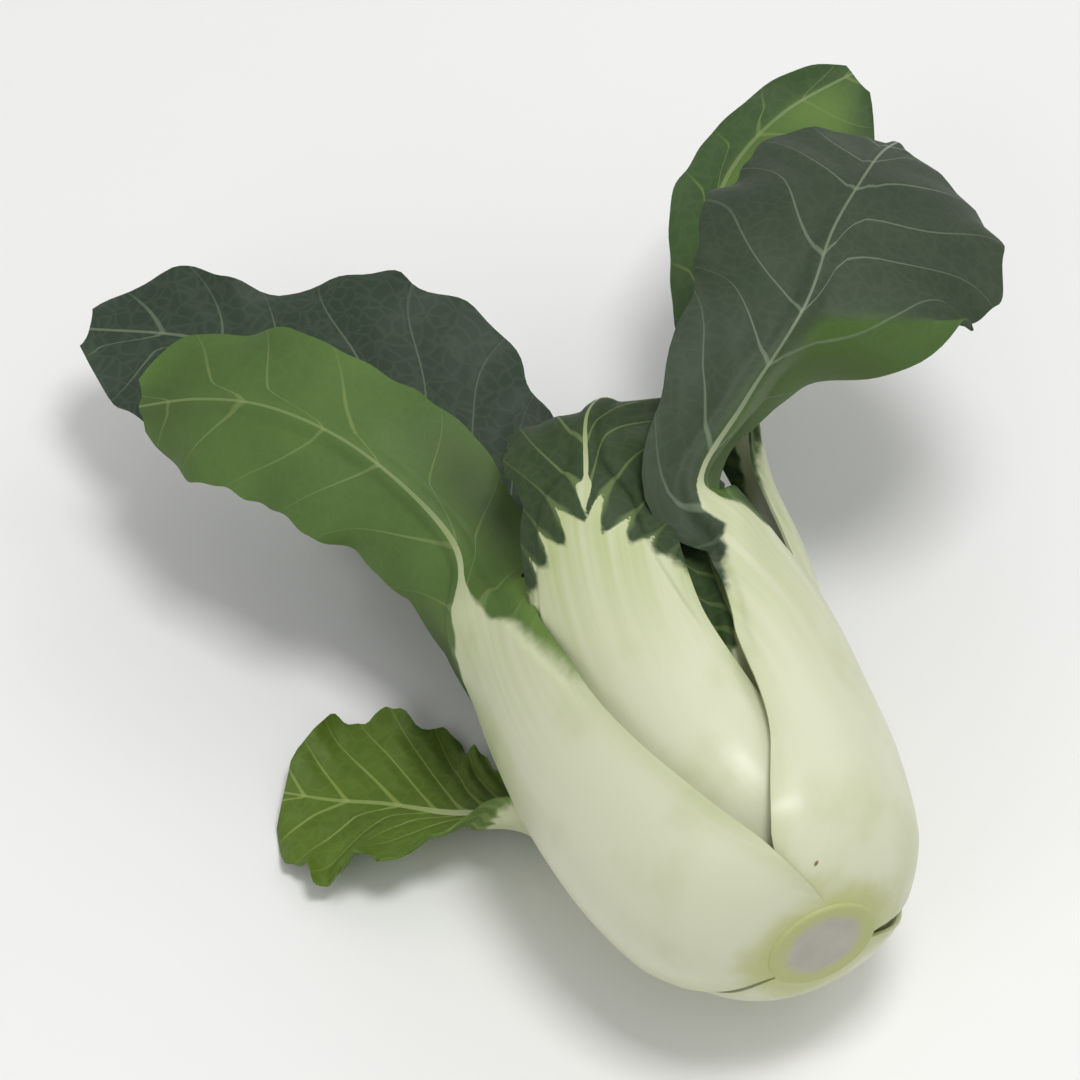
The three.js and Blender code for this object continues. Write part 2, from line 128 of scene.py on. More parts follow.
towards_camera = Vector((math.sin(CAMERA_AZIMUTH) * math.cos(CAMERA_ELEVATION),
                         -math.cos(CAMERA_AZIMUTH) * math.cos(CAMERA_ELEVATION),
                         math.sin(CAMERA_ELEVATION)))
deselect()
bpy.ops.object.camera_add(location=VIEW_CENTRE + towards_camera * CAMERA_DISTANCE)
camera = bpy.context.object
camera.rotation_euler = (-towards_camera).to_track_quat("-Z", "Y").to_euler()
camera.data.lens = camera.data.sensor_width * CAMERA_DISTANCE / VIEW_WIDTH
camera.data.clip_end = CAMERA_REACH
bpy.context.scene.camera = camera
bpy.context.scene.view_settings.view_transform = "Standard"

# The outer leaves: three, a third of a turn apart, that grow from the rim of the stem. Their thick, crisp
# stalks wrap the bulb. The left one arches over to its side, the right one kinks at the top of its stalk and
# lays its blade back, and the head lies on the third.
MM = 0.001
HEAD_AXIS = Vector((0, 1, 0))
AXIS_HEIGHT = 36              # the middle of the cut end above the surface
REST_Y = 58                   # the flat spot that the head lies on, from the cut end
ROWS = 150                    # faces along a leaf
COLUMNS = 60                  # faces across it
EDGE_CROWDING = 0.55          # above 0, the columns crowd towards the margins
SMOOTH_ANGLE = math.radians(70)
BLADE_END = 0.985             # the share of its spine that a leaf fills
TIP_ROUNDING = 0.12           # the share of the blade whose width rounds off to the tip
TIP_LEAST = 0.02              # of the width, left at the very tip
FOOT_SPREAD = 1.1             # radians either side that a leaf's foot wraps round the stem
FOOT_THICKNESS = 2.5
STALK_EDGE = 1.2              # thickness of a stalk close to its two margins
MARGIN_THICKNESS = 0.6        # right at the margins, as a share of STALK_EDGE
MARGIN_PROUD = 0.35           # how proud a midrib's margins stand, as a share of its middle
MIDRIB_HALF = 2.4             # half width of the midrib just past the stalk
BLADE_THICKNESS = 0.55
BLADE_LIFT = 1                # the blade's middle surface above the midrib's back
WING_BLEND = 1.6              # the width over which a stalk's margin thins to a wing
LEAST_INNER = 0.5             # the inner face of a leaf on the surface stays this far above it
WAVE_OFFSET = 0.37            # of a wave, between the two margins of a blade
WAVE_GROWTH = 0.35            # the share of the blade over which its waves grow
BLISTER_START = 6             # blisters between the veins start over this width beside the midrib
VEIN_OFFSET = 0.37            # of a vein's spacing, between the two sides of the midrib
VEIN_JOIN = 4                 # how far from the midrib that offset is reached
VEIN_SWING = 0.012            # how much a side vein swings outwards
FOOT_VEIN_LEAN = 2.6          # how far the lowest veins go up for each millimetre out
FIRST_VEINS = 20              # veins this far up the blade still have the spacing of the first
GREEN_FADE = 3.5              # veins widen over about this distance from the white

# What a leaf has unless its own values say otherwise
LEAF_DEFAULTS = dict(
    frill=0.03,               # how ragged its margin is, as a share of its half width
    pucker=0.5,               # how high it blisters between the veins
    veins=(8, 14),            # spacing of the side veins, at the stalk and further up
    lean=1.15,                # how far a side vein goes up for each millimetre out
    rib=1,                    # how wide the white of the midrib is
    rim=0.7,                  # the share of the stalk where its margins begin to turn green
    peak=0.6,                 # the share of the stalk's width that is white at its top
    top=0.05,                 # the share of the spine over which that narrows to the midrib
    fingers=0.3,              # how deep the green notches between the white fingers are
    torn=0.86,                # the share of the stalk where the notches begin
    crease=None,              # where one lobe folds down, and by how much
    tones=())                 # (share of the blade, place across, reach, reach across, amount) of each patch: above 0 painted light through the leaf, partly its fresher green; below 0 painted shade


def around(degrees, radius, y):
    """A point at an angle round the head's axis (0 is +X, 90 is up), at a radius, and y from the cut end."""
    angle = math.radians(degrees)
    return (radius * math.cos(angle), y, radius * math.sin(angle))


def clamp(value, low, high):
    return min(max(value, low), high)


def smooth(t, start, end):
    """Goes from 0 to 1 as t goes from start to end, without corners."""
    s = clamp((t - start) / (end - start), 0, 1)
    return s * s * (3 - 2 * s)


def lerp(a, b, t):
    return a + (b - a) * t


def hermite(a, slope_a, b, slope_b, t):
    """The cubic from a to b with the given slopes at its two ends."""
    return (a * (2 * t ** 3 - 3 * t ** 2 + 1) + slope_a * (t ** 3 - 2 * t ** 2 + t)
            + b * (3 * t ** 2 - 2 * t ** 3) + slope_b * (t ** 3 - t ** 2))


def stretch(stations, t):
    """The number of the station that ends the stretch where t is."""
    k = 1
    while k < len(stations) - 1 and t > stations[k][0]:
        k += 1
    return k


def eased(stations, t):
    """A smooth line through (place, value) stations that levels off at each."""
    k = stretch(stations, t)
    (start, a), (end, b) = stations[k - 1], stations[k]
    return lerp(a, b, smooth(t, start, end))


def through(stations, t):
    """A curve through (place, value) stations, without the steps of a line that levels off at each."""
    k = stretch(stations, t)
    (start, a), (end, b) = stations[k - 1], stations[k]
    start_before, before = stations[max(k - 2, 0)]
    end_after, after = stations[min(k + 1, len(stations) - 1)]
    span, steepest = end - start, 3 * abs(b - a)
    slope_a = clamp((b - before) / (end - start_before) * span, -steepest, steepest)
    slope_b = clamp((after - a) / (end_after - start) * span, -steepest, steepest)
    return hermite(a, slope_a, b, slope_b, clamp((t - start) / span, 0, 1))


def spline_point(points, t):
    """A point of the centripetal Catmull-Rom curve through points, with t from 0 to 1."""
    place = t * (len(points) - 1)
    k = min(int(place), len(points) - 2)
    p1, p2 = points[k], points[k + 1]
    p0 = points[k - 1] if k > 0 else p1 * 2 - p2
    p3 = points[k + 2] if k + 2 < len(points) else p2 * 2 - p1
    d0, d1, d2 = ((b - a).length ** 0.5 for a, b in ((p0, p1), (p1, p2), (p2, p3)))
    slope_1 = ((p1 - p0) / d0 - (p2 - p0) / (d0 + d1) + (p2 - p1) / d1) * d1
    slope_2 = ((p2 - p1) / d1 - (p3 - p1) / (d1 + d2) + (p3 - p2) / d2) * d1
    return hermite(p1, slope_1, p2, slope_2, place - k)


class Spine:
    """The outer middle line of a leaf, by the share of its length."""
    STEPS = 400
    NUDGE = 1e-3

    def __init__(self, points):
        self.points = [Vector(p) for p in points]
        self.reach = [0]
        last = self.points[0]
        for i in range(1, self.STEPS + 1):
            p = spline_point(self.points, i / self.STEPS)
            self.reach.append(self.reach[-1] + (p - last).length)
            last = p
        self.length = self.reach[-1]

    def at(self, u):
        goal = clamp(u, 0, 1) * self.length
        low, high = 0, self.STEPS
        while high - low > 1:
            middle = (low + high) // 2
            if self.reach[middle] > goal:
                high = middle
            else:
                low = middle
        step = (goal - self.reach[low]) / (self.reach[high] - self.reach[low])
        return spline_point(self.points, (low + step) / self.STEPS)

    def along(self, u):
        return (self.at(min(u + self.NUDGE, 1)) - self.at(max(u - self.NUDGE, 0))).normalized()


def blade_share(leaf, u):
    """How far up the blade a share u of the whole leaf is."""
    return max(0, (u - leaf["stalk"]) / (1 - leaf["stalk"]))


def stalk_half(leaf, u):
    """Half width of the stalk, which narrows to the midrib in the blade."""
    wide, k, neck = leaf["wide"], leaf["stalk"], leaf["neck"]
    return through([(0, leaf["foot"] * FOOT_SPREAD), (k * 0.1, wide * leaf["low"] * 0.8),
                    (k * 0.2, wide * leaf["low"]), (k * 0.42, wide), (k * 0.7, wide * 0.86),
                    (k * 0.9, wide * (0.3 + 0.65 * neck)), (k, wide * neck), (k + 0.06, MIDRIB_HALF),
                    (k + 0.25, 1.5), (1, 0.8)], u)


def leaf_half(leaf, u, side):
    """Half width of the whole leaf. The blade grows out of the stalk's margin as a narrowing wing."""
    k = leaf["stalk"]
    share = blade_share(leaf, u)
    wing = stalk_half(leaf, u) + leaf["wings"][0 if side < 0 else 1] * smooth(u, k * 0.5, k) ** 1.5
    half = max(through(leaf["left"] if side < 0 else leaf["right"], share), wing)
    tip = max(share - (1 - TIP_ROUNDING), 0) / TIP_ROUNDING
    return lerp(wing, half, smooth(u, k * 0.9, k)) * math.sqrt(max(1 - tip ** 2, TIP_LEAST ** 2))


def leaf_section(leaf, u):
    """A leaf's place and directions at share u of its spine, and its curvature across.

    Its sections lie square to the head's axis at its foot, and square to its own spine further up. The last
    pair places its normal between the two directions of the section.
    """
    k = leaf["stalk"]
    point = leaf["line"].at(u)
    along = leaf["line"].along(u)
    axis = HEAD_AXIS.lerp(along, smooth(u, k * 0.1, k * 0.5)).normalized()
    inner = Vector((-point.x, 0, -point.z)).normalized()
    before = (k * 0.85, inner)
    for share, way in leaf["facing"]:
        facing = Vector(way).normalized()
        if u > before[0]:
            inner = before[1].lerp(facing, smooth(u, before[0], share))
        before = (share, facing)
    inner = (inner - axis * inner.dot(axis)).normalized()
    normal = (inner - along * inner.dot(along)).normalized()
    radius = min(leaf["round"], math.hypot(point.x, point.z))
    bend = lerp(1 / radius, eased(leaf["cup"], blade_share(leaf, u)), smooth(u, k * 0.8, k * 1.1))
    return point, axis, inner, axis.cross(inner), bend, (normal.dot(inner), normal.dot(axis))


def vein_number(leaf, above, x):
    """Counts the side veins, and gives their spacing. A whole number is a vein, x across and above the stalk.

    They leave the midrib steeply, the two sides in turn, and swing outwards.
    """
    lean = lerp(FOOT_VEIN_LEAN, leaf["lean"], smooth(above, -25, 30))
    offset = -VEIN_OFFSET * smooth(-x, 0, VEIN_JOIN)
    reach = above - abs(x) * lean + VEIN_SWING * x * x
    wobble = 0.16 * math.sin(above / 7.3 + offset * 9) + 0.11 * math.sin(abs(x) / 4.3 + offset * 5)
    early, late = leaf["veins"]
    count = min(reach, FIRST_VEINS) / early + max(reach - FIRST_VEINS, 0) / late
    spacing = lerp(early, late, smooth(reach, 5, 35))
    return count + offset + wobble, spacing / math.hypot(1, lean)


def folded(leaf, p, u, x):
    """Bends the part of a lobe below its crease down about the crease. Also gives how far it is bent."""
    crease = leaf["crease"]
    if not crease or x * crease["side"] < 0:
        return p, 0
    point, axis, _, across = crease["section"][:4]
    line = (across * crease["side"] + axis * crease["lean"]).normalized()
    below = crease["lean"] * abs(x) - (u - crease["at"]) * leaf["line"].length
    bent = smooth(below / math.hypot(1, crease["lean"]), -1, crease["round"])
    bent *= smooth(abs(x), 1, crease["fade"]) * smooth(u, leaf["stalk"] * 1.03, leaf["stalk"] * 1.2)
    turn = Quaternion(line, -crease["side"] * crease["angle"] * bent)
    return point + turn @ (p - point), bent


def leaf_faces(leaf, u, x, v, core, off_vein):
    """Heights of a leaf's outer and inner face at x across it, which is v of its half width. core is the half
    width of its stalk, and off_vein goes from 0 on a side vein to 1 between two."""
    k, thick = leaf["stalk"], leaf["thick"]
    share = blade_share(leaf, u)
    # the stalk's own section, thick in the middle
    middle = eased([(0, FOOT_THICKNESS), (k * 0.2, thick), (k * 0.7, thick * 0.85), (k * 0.93, thick * 0.45),
                    (k, 1.6), (k + 0.07, 1.2), (1, 0.5)], u)
    proud = eased([(0, 0), (k * 0.85, 0), (k, 1.4), (k + 0.07, 1.1), (k + 0.3, 0.5), (1, 0.2)], u)
    crown = max(0, 1 - (x / core) ** 2)
    stalk_low = -proud * lerp(MARGIN_PROUD, 1, crown)
    stalk_high = stalk_low + lerp(min(STALK_EDGE, middle) * MARGIN_THICKNESS, middle, crown)
    # the blade's, waved at its margins and blistered between its veins, which lies against the stalk's back
    height, count, phase = leaf["wave"]
    turn = 2 * math.pi * (count * share + phase + (WAVE_OFFSET if v < 0 else 0))
    wave = math.sin(turn) + 0.3 * v * v * math.sin(2.3 * turn + 1)
    wave *= height * smooth(share, 0, WAVE_GROWTH) * v * v
    blister = leaf["pucker"] * smooth(share, -0.02, 0.15) * (off_vein - 0.5)
    blister *= smooth(abs(x), core, core + BLISTER_START)
    blade_low = BLADE_LIFT + wave + blister - BLADE_THICKNESS / 2
    blade_high = blade_low + BLADE_THICKNESS
    # one runs into the other beside the stalk and over its top
    in_blade = smooth(abs(x), core * 0.85, core * 0.85 + WING_BLEND) * smooth(u, k * 0.55, k * 0.75)
    covered = max(stalk_high, lerp(stalk_high, blade_high, smooth(u, k * 0.95, k * 1.05)))
    return lerp(stalk_low, blade_low, in_blade), lerp(covered, blade_high, in_blade)


def white_half(leaf, u, core):
    """Half width of the white, which narrows between green margins and runs on as the thin midrib."""
    k = leaf["stalk"]
    if u > k:
        return eased([(k, core * leaf["peak"]), (k + leaf["top"], 1.1 * leaf["rib"]),
                      (k + 0.2, 0.5 * leaf["rib"]), (1, 0.25)], u)
    white = lerp(core / 0.7, core, smooth(u, k * leaf["rim"], k * (leaf["rim"] + 0.2)))
    return white * lerp(1, leaf["peak"], smooth(u, k * 0.88, k))


def finger(leaf, u, off_vein):
    """The white runs up the veins in fingers at the stalk's top, with green notches between them."""
    k = leaf["stalk"]
    rise = smooth(u, k * leaf["torn"], k * 0.97) * (1 - smooth(u, k, k + 0.04))
    return leaf["fingers"] * (off_vein ** 0.6 - 0.3) * rise


def lit_and_shaded(leaf, share, v, bent):
    """Above 0 where the green is painted bright, as lit through from behind: a folded-down lobe and the
    patches above 0, partly the leaf's own fresher green. Below 0 where it is painted shade.
    """
    # a folded-down lobe is painted bright, as lit through from behind
    tone = 0.75 * bent
    for at, across_at, reach, across_reach, amount in leaf["tones"]:
        tone += amount * math.exp(-((share - at) / reach) ** 2 - ((v - across_at) / across_reach) ** 2)
    return tone


def leaf_slab(name):
    """A flat closed slab, whose rows go along the leaf and whose top becomes its inner face."""
    deselect()
    bpy.ops.mesh.primitive_grid_add(x_subdivisions=COLUMNS, y_subdivisions=ROWS, size=1)
    slab = bpy.context.object
    slab.name = name
    bpy.ops.object.modifier_add(type="SOLIDIFY")
    slab.modifiers[0].thickness = 1
    slab.modifiers[0].offset = 1
    bpy.ops.object.modifier_apply(modifier=slab.modifiers[0].name)
    return slab


def mark_leaf(mesh, veins, places, tones, flat):
    """Stores what the leaf's colours follow: veins, places and tones at its points, and its flat map."""
    for label, kind, field, values in (("veins", "FLOAT_VECTOR", "vector", veins),
                                       ("place", "FLOAT_VECTOR", "vector", places),
                                       ("tone", "FLOAT", "value", tones)):
        mesh.attributes.new(label, kind, "POINT").data.foreach_set(field, values)
    uv = mesh.uv_layers.active or mesh.uv_layers.new()
    uv.name = "leaf"
    corners = [0] * len(mesh.loops)
    mesh.loops.foreach_get("vertex_index", corners)
    uv.data.foreach_set("uv", [value for index in corners for value in flat[index]])


def leaf_piece(name, sizes):
    """One closed mesh for a leaf: a flat slab is bent to its shape and marked for its colours."""
    leaf = {**LEAF_DEFAULTS, **sizes}
    leaf["line"] = Spine(leaf["spine"])
    leaf["foot"] = math.hypot(leaf["spine"][0][0], leaf["spine"][0][2])
    if leaf["crease"]:
        leaf["crease"]["section"] = leaf_section(leaf, leaf["crease"]["at"])
    k, length = leaf["stalk"], leaf["line"].length
    rows = []
    for number in range(ROWS + 1):
        u = BLADE_END * number / ROWS
        halves = {side: leaf_half(leaf, u, side) for side in (-1, 1)}
        rows.append((u, stalk_half(leaf, u), halves, leaf_section(leaf, u)))
    piece = leaf_slab(name)
    veins, places, tones, flat = [], [], [], []
    for vertex in piece.data.vertices:
        u, core, halves, section = rows[round((vertex.co.y + 0.5) * ROWS)]
        point, axis, inner, across, bend, (level, slant) = section
        v = lerp(vertex.co.x * 2, math.sin(vertex.co.x * math.pi), EDGE_CROWDING)
        inside = vertex.co.z > 0.5
        side = -1 if v < 0 else 1
        share = blade_share(leaf, u)
        frill = math.sin(share * 31 + side) + 0.5 * math.sin(share * 67 + 2 * side)
        x = v * halves[side] * (1 + leaf["frill"] * frill * smooth(share, 0.05, 0.2))
        above = (u - k) * length
        number, apart = vein_number(leaf, above, x)
        off_vein = abs(number - round(number)) * 2
        # the point on the curved section, lifted off it along the leaf's normal
        lift = leaf_faces(leaf, u, x, v, core, off_vein)[1 if inside else 0]
        angle = bend * x
        p = point + across * (math.sin(angle) / bend - lift * level * math.sin(angle)) \
            + inner * ((1 - math.cos(angle)) / bend + lift * level * math.cos(angle)) + axis * (lift * slant)
        p, bent = folded(leaf, p, u, x)
        z = max(p.z + AXIS_HEIGHT, LEAST_INNER if inside else 0)
        vertex.co = Vector((p.x, p.y - REST_Y, z)) * MM
        # where it is among the veins, and how far out of the white
        white = white_half(leaf, u, core)
        near = math.exp(-max(abs(x) - white, 0) / GREEN_FADE)
        vein_half = 0.16 + 0.24 * near + 0.9 * near * (1 - smooth(above, -8, 14))
        veins.extend((number, apart / vein_half, abs(x) / white + finger(leaf, u, off_vein)))
        places.extend((u / k, 1.0 if inside else 0.0, abs(v)))
        tones.append(lit_and_shaded(leaf, share, v, bent))
        flat.append((x * MM, u * length * MM))
    mark_leaf(piece.data, veins, places, tones, flat)
    bpy.ops.object.mode_set(mode="EDIT")
    bpy.ops.mesh.select_all(action="SELECT")
    bpy.ops.mesh.normals_make_consistent(inside=False)
    bpy.ops.object.mode_set(mode="OBJECT")
    bpy.ops.object.shade_smooth_by_angle(angle=SMOOTH_ANGLE)
    piece.data.materials.append(leaf["material"])
    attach(piece, "root")
    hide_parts(f"stalk_{name[5:]}", f"blade_{name[5:]}")


def colour(red, green, blue):
    """A linear colour from its screen values, 0 to 255."""
    def linear(c):
        c /= 255
        return c / 12.92 if c <= 0.04045 else ((c + 0.055) / 1.055) ** 2.4
    return (linear(red), linear(green), linear(blue), 1)


def ramp(material, value, start, end, low, high, interpolation="SMOOTHSTEP"):
    """A number that goes from low to high as value goes from start to end."""
    node = add_node(material, "ShaderNodeMapRange", {0: value, 1: start, 2: end, 3: low, 4: high},
                    interpolation_type=interpolation)
    return node.outputs[0]


def number_node(material, operation, a, b, clamped=False):
    node = add_node(material, "ShaderNodeMath", {0: a, 1: b}, operation=operation, use_clamp=clamped)
    return node.outputs[0]


def vector_node(material, operation, a, b):
    return add_node(material, "ShaderNodeVectorMath", {0: a, 1: b}, operation=operation).outputs[0]


def noise(material, place, scale, detail):
    return add_node(material, "ShaderNodeTexNoise", {"Vector": place, "Scale": scale, "Detail": detail})


def parts_of(material, vector):
    return add_node(material, "ShaderNodeSeparateXYZ", {0: vector}).outputs


def leaf_mark(material, name):
    return add_node(material, "ShaderNodeAttribute", attribute_name=name).outputs


def new_group(name, given, made):
    """An empty node group, with its given and made numbers."""
    tree = bpy.data.node_groups.new(name, "ShaderNodeTree")
    for labels, way in ((given, "INPUT"), (made, "OUTPUT")):
        for label in labels:
            tree.interface.new_socket(label, in_out=way, socket_type="NodeSocketFloat")
    return tree, tree.nodes.new("NodeGroupInput").outputs


def close_group(tree, **made):
    """Puts the group's results out under their names."""
    out = tree.nodes.new("NodeGroupOutput")
    for label, socket in made.items():
        tree.links.new(socket, out.inputs[label])
    return tree


NET_SCALE = 340.0             # cells of the fine net of veins to a metre
NET_BEND = 0.003              # how far its lines wander


def veins_group():
    """White is the stalk and midrib, Vein the side veins, Net the fine net, Height what they raise."""
    tree, given = new_group("leaf_veins", ["Ragged"], ["White", "Vein", "Net", "Height"])
    number, apart, from_white = parts_of(tree, leaf_mark(tree, "veins")["Vector"])
    flat = add_node(tree, "ShaderNodeUVMap", uv_map="leaf").outputs[0]
    rough = number_node(tree, "SUBTRACT", noise(tree, flat, 420.0, 2.0).outputs["Fac"], 0.5)
    rough = number_node(tree, "MULTIPLY", rough, given["Ragged"])
    off_vein = number_node(tree, "MULTIPLY", number_node(tree, "PINGPONG", number, 0.5), apart)
    vein = ramp(tree, number_node(tree, "ADD", off_vein, rough), 0.5, 1.5, 1.0, 0.0)
    white = ramp(tree, number_node(tree, "ADD", from_white, rough), 0.88, 1.15, 1.0, 0.0)
    wander = noise(tree, flat, 260.0, 1.0).outputs["Color"]
    wander = vector_node(tree, "MULTIPLY", wander, (NET_BEND, NET_BEND, 0))
    cells = add_node(tree, "ShaderNodeTexVoronoi", {"Vector": vector_node(tree, "ADD", flat, wander),
                                                    "Scale": NET_SCALE}, feature="DISTANCE_TO_EDGE")
    net = ramp(tree, cells.outputs["Distance"], 0.0, 0.16, 1.0, 0.0)
    dome = number_node(tree, "MULTIPLY", cells.outputs["Distance"], 0.5)
    height = number_node(tree, "MULTIPLY", number_node(tree, "ADD", vein, dome),
                         number_node(tree, "SUBTRACT", 1.0, white))
    return close_group(tree, White=white, Vein=vein, Net=net, Height=height)


def flesh_group():
    """Rib is the fine lengthwise grain of a stalk, Mottle a slow change of tone, Speck rare brown dots."""
    tree, given = new_group("leaf_flesh", ["Seed"], ["Rib", "Mottle", "Speck"])
    flat = add_node(tree, "ShaderNodeUVMap", uv_map="leaf").outputs[0]
    place = vector_node(tree, "ADD", flat, given["Seed"])
    long = add_node(tree, "ShaderNodeMapping", {"Vector": place, "Scale": (520, 10, 1)}).outputs[0]
    dots = add_node(tree, "ShaderNodeTexVoronoi", {"Vector": place, "Scale": 70.0})
    dot = ramp(tree, dots.outputs["Distance"], 0.022, 0.04, 1.0, 0.0, "LINEAR")
    rare = number_node(tree, "GREATER_THAN", parts_of(tree, dots.outputs["Color"])[0], 0.72)
    return close_group(tree, Rib=noise(tree, long, 1.0, 3.0).outputs["Fac"],
                       Mottle=noise(tree, place, 55.0, 4.0).outputs["Fac"],
                       Speck=number_node(tree, "MULTIPLY", dot, rare))


VEINS = veins_group()
FLESH = flesh_group()
STALK_WHITE = colour(212, 214, 186)
STALK_GREEN = colour(166, 180, 112)
COLLAR_GREEN = colour(176, 182, 104)
# painted light: the bright green of a leaf lit through from behind, partly its own fresher green
FRESH_AND_BACKLIT_GREEN = colour(112, 142, 60)
# painted shade, laid over a leaf's green where its tone is below 0
PAINTED_SHADE_GREEN = (0.008, 0.014, 0.005, 1)
PATCH_DARK = (0.62, 0.66, 0.66, 1)      # the mottling of a blade multiplies its green by these
PATCH_LIGHT = (1.3, 1.26, 1.2, 1)
SPECK_BROWN = colour(120, 106, 70)
WAXY_ROUGHNESS = 0.32
BLADE_ROUGHNESS = 0.62
LEAF_RELIEF = dict(Strength=0.26, Distance=0.0005)


def leaf_material(name, outer, inner, vein, seed, ragged=0.3, fresh=0.45, net=0.14, bright=FRESH_AND_BACKLIT_GREEN):
    """Waxy white stalk and matt green blade in one leaf, with its veins and fine net.

    outer and inner are the greens of its two faces, and vein is its veins' colour. bright is the green of
    painted light shining through it, partly its fresher green.
    seed shifts its mottling, ragged roughens its lines, fresh greens its stalk towards the top, and net is
    how much its net shows.
    """
    material = new_material(name)
    lines = add_node(material, "ShaderNodeGroup", {}, node_tree=VEINS)
    lines.inputs["Ragged"].default_value = ragged
    flesh = add_node(material, "ShaderNodeGroup", {}, node_tree=FLESH)
    flesh.inputs["Seed"].default_value = seed
    rib, mottle, speck = flesh.outputs
    along, inside, out = parts_of(material, leaf_mark(material, "place")["Vector"])
    tone = leaf_mark(material, "tone")["Fac"]
    # the blade: its two faces, patchy, with painted light through it (partly fresher green) and painted shade
    # in places, and a pale net and side veins
    green = mix(material, inside, outer, inner)
    green = mix(material, 1.0, green, mix(material, mottle, PATCH_DARK, PATCH_LIGHT), "MULTIPLY")
    # painted light: above 0 the tone turns the green bright, as lit through from behind
    green = mix(material, ramp(material, tone, 0.0, 1.0, 0.0, 0.85), green, bright)
    green = mix(material, number_node(material, "MULTIPLY", lines.outputs["Net"], net), green, vein)
    fading = ramp(material, out, 0.3, 1.0, 0.62, 0.18)
    green = mix(material, number_node(material, "MULTIPLY", lines.outputs["Vein"], fading), green, vein)
    # painted shade: below 0 the tone darkens the green
    green = mix(material, ramp(material, tone, -1.0, 0.0, 0.8, 0.0), green, PAINTED_SHADE_GREEN)
    # the stalk: greener up its ribs, at its margins and round the foot, with rare specks
    tint = number_node(material, "ADD", ramp(material, along, 0.4, 1.0, 0.0, fresh),
                       ramp(material, out, 0.72, 1.0, 0.0, 0.3))
    tint = number_node(material, "MULTIPLY", number_node(material, "MULTIPLY", tint, rib), 1.7)
    tint = number_node(material, "ADD", tint, ramp(material, mottle, 0.5, 0.8, 0.0, 0.35), clamped=True)
    white = mix(material, tint, STALK_WHITE, STALK_GREEN)
    collar = number_node(material, "ADD", along, ramp(material, mottle, 0.3, 0.7, 0.03, -0.03))
    white = mix(material, ramp(material, collar, 0.0, 0.09, 0.75, 0.0), white, COLLAR_GREEN)
    white = mix(material, ramp(material, along, 0.97, 1.3, 0.0, 0.85), white, vein)
    white = mix(material, speck, white, SPECK_BROWN)
    fading = ramp(material, along, 1.0, 1.6, 1.0, 0.55)
    whiteness = number_node(material, "MULTIPLY", lines.outputs["White"], fading)
    relief = add_node(material, "ShaderNodeMath", {0: rib, 1: 0.4, 2: lines.outputs["Height"]},
                      operation="MULTIPLY_ADD").outputs[0]
    bump = add_node(material, "ShaderNodeBump", {"Height": relief, **LEAF_RELIEF})
    roughness = ramp(material, lines.outputs["White"], 0.0, 1.0, BLADE_ROUGHNESS, WAXY_ROUGHNESS)
    finish_material(material, Base_Color=mix(material, whiteness, green, white), Roughness=roughness,
                    Normal=bump.outputs[0], Specular_IOR_Level=0.38)
    return material


